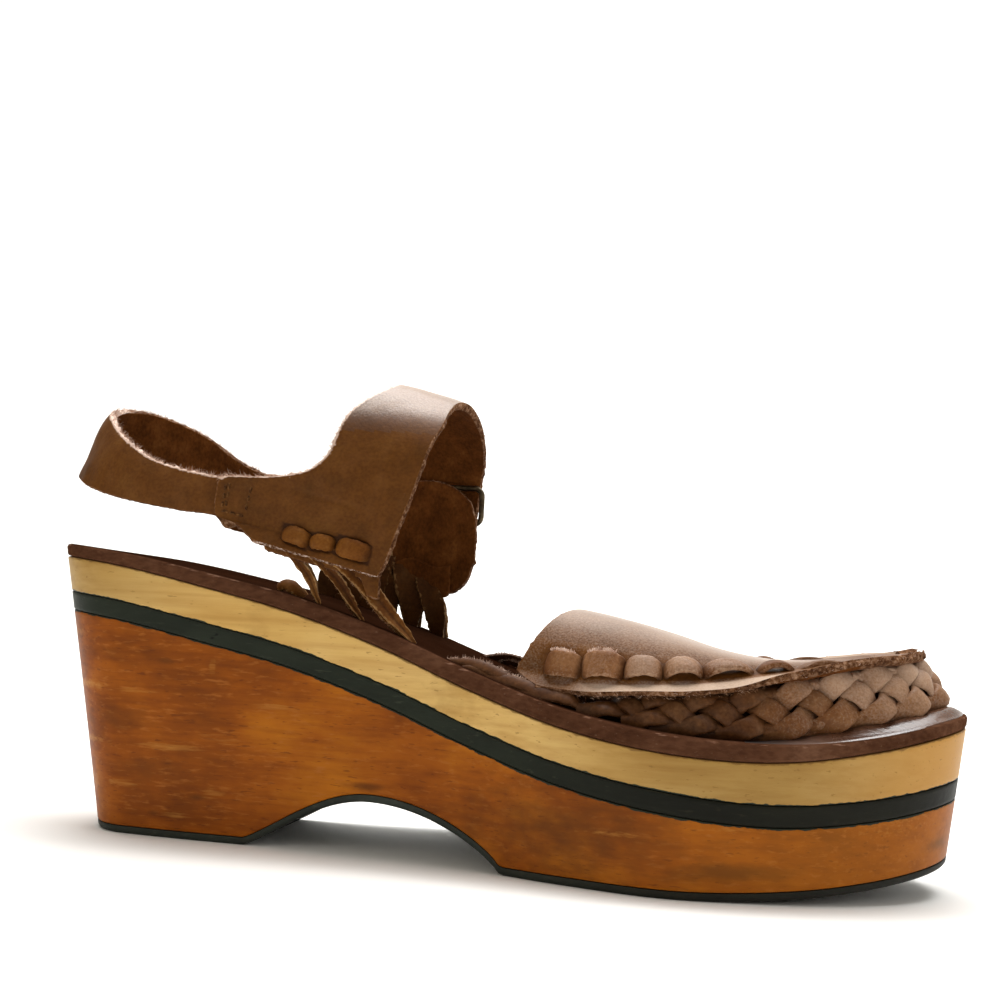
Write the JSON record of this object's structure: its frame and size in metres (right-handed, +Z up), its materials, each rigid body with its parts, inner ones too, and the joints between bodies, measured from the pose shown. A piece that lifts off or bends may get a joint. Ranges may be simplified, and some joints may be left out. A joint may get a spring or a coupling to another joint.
{
  "type": "platform clog sandal",
  "caption": "Left platform clog sandal with a laminated wooden wedge sole, a closed toe in braided leather and an ankle sling with an instep strap.",
  "frame": {"origin": "on the floor at the middle of the shoe's box", "axes": "+X to the toe, +Y to the outer (lateral) side, -Y to the inner (medial) side, +Z up"},
  "size_m": [0.2529, 0.0867, 0.1282],
  "materials": {
    "rubber": "moulded, matt",
    "stained_wood": "stained and oiled, worn satin",
    "painted_wood": "painted, dull satin",
    "pale_wood": "clear lacquer, satin",
    "insole_leather": "waxed, half gloss",
    "upper_leather": "smooth oiled grain, rough cut edges",
    "lace_leather": "smooth grain, waxed",
    "aged_brass": "aged, dull"
  },
  "bodies": {
    "root": {"outsole": "rubber", "wedge": "stained_wood", "dark_lamina": "painted_wood", "pale_lamina": "pale_wood", "insole": "insole_leather", "vamp": "upper_leather", "braid": "lace_leather", "medial_quarter": "upper_leather", "lateral_quarter": "upper_leather", "back_strap": "upper_leather", "buckle_ring": "aged_brass", "thong_medial_1": "lace_leather", "thong_medial_2": "lace_leather", "thong_medial_3": "lace_leather", "thong_lateral_1": "lace_leather", "thong_lateral_2": "lace_leather", "thong_lateral_3": "lace_leather"}
  },
  "joints": []
}
